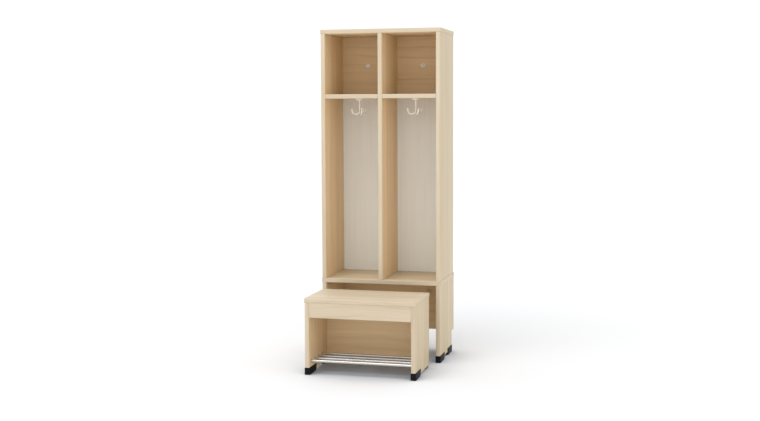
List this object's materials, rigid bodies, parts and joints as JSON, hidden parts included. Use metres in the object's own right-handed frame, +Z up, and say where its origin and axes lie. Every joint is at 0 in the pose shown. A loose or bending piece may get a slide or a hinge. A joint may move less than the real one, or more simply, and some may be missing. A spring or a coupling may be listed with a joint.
{
  "type": "locker cabinet",
  "caption": "Open wooden cloakroom locker with hat and coat compartments, swivel coat hooks, a raised base on plastic feet, and a slide-in bench with a shoe rack.",
  "frame": {"origin": "on the floor, at the middle of the whole object's footprint with the bench pulled out", "axes": "+X to the user's right as they face the open front, +Y from the bench towards the wall, +Z up"},
  "size_m": [0.544, 0.663, 1.468],
  "materials": {
    "maple_board": "light maple decor, satin",
    "pale_panel": "pale warm grey coating, satin",
    "black_plastic": "moulded, fine grain",
    "bright_aluminium": "bright drawn tube",
    "zinc_steel": "zinc plated",
    "cream_enamel": "cream, semi-gloss",
    "dowel_wood": "fluted beech"
  },
  "bodies": {
    "cabinet": {"top_panel": "maple_board", "left_side_panel": "maple_board", "right_side_panel": "maple_board", "centre_partition": "maple_board", "left_hat_shelf": "maple_board", "right_hat_shelf": "maple_board", "hat_back_panel": "maple_board", "coat_back_panel": "pale_panel", "floor_board": "maple_board", "base_left_side": "maple_board", "base_right_side": "maple_board", "base_back_panel": "maple_board", "base_front_left_foot": "black_plastic", "base_front_right_foot": "black_plastic", "base_rear_left_foot": "black_plastic", "base_rear_right_foot": "black_plastic", "left_hook_plate": "cream_enamel", "right_hook_plate": "cream_enamel", "hook_plate_screws": "zinc_steel", "wall_washers": "zinc_steel", "back_panel_screws": "zinc_steel", "top_dowels": "dowel_wood", "shelf_dowels": "dowel_wood", "floor_dowels": "dowel_wood", "base_dowels": "dowel_wood"},
    "bench": {"bench_seat": "maple_board", "bench_left_side": "maple_board", "bench_right_side": "maple_board", "bench_apron": "maple_board", "bench_back_panel": "maple_board", "shoe_bar_1": "bright_aluminium", "shoe_bar_2": "bright_aluminium", "shoe_bar_3": "bright_aluminium", "shoe_bar_4": "bright_aluminium", "bench_left_foot": "black_plastic", "bench_right_foot": "black_plastic", "bench_left_glide": "black_plastic", "bench_right_glide": "black_plastic", "bench_dowels": "dowel_wood"},
    "left_hook": {"left_hook": "cream_enamel"},
    "right_hook": {"right_hook": "cream_enamel"}
  },
  "joints": [
    {"name": "bench_slide", "type": "slide", "parent": "cabinet", "child": "bench", "axis": [0, 1, 0], "range_m": [0, 0.351]},
    {"name": "left_hook_swivel", "type": "hinge", "parent": "cabinet", "child": "left_hook", "pos_m": [-0.13025, 0.1595, 1.13], "axis": [0, 0, 1], "continuous": true},
    {"name": "right_hook_swivel", "type": "hinge", "parent": "cabinet", "child": "right_hook", "pos_m": [0.13025, 0.1595, 1.13], "axis": [0, 0, 1], "continuous": true}
  ]
}
